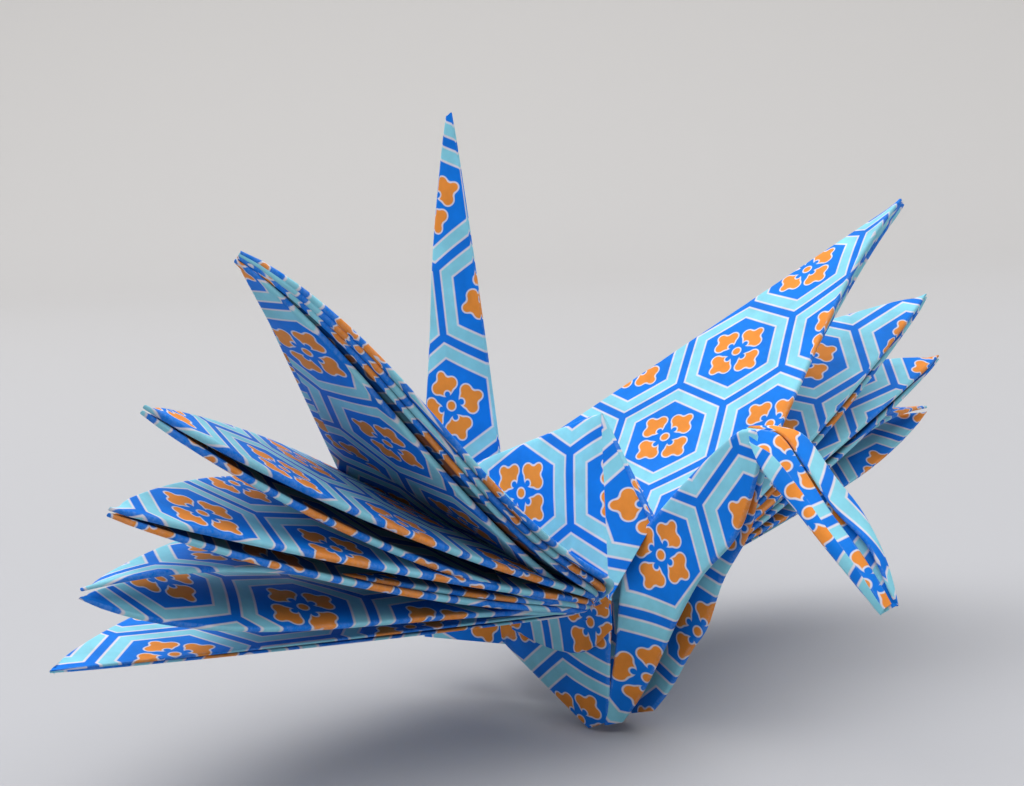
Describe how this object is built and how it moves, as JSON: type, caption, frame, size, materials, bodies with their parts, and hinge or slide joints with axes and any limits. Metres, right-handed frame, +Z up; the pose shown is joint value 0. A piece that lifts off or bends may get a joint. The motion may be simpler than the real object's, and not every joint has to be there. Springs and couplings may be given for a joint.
{
  "type": "origami crane",
  "caption": "Folded paper crane with fanned leaf wings, an upright tail and a bent neck, standing on the keel of its body.",
  "frame": {"origin": "on the ground, under the middle of the crane's outline", "axes": "+X towards the head, +Y to the crane's left, +Z up from the flat keel it stands on"},
  "size_m": [0.0862, 0.1664, 0.0924],
  "materials": {
    "paper": "matt printed paper in blue, aqua and orange"
  },
  "bodies": {
    "root": {"crane": "paper"}
  },
  "joints": []
}
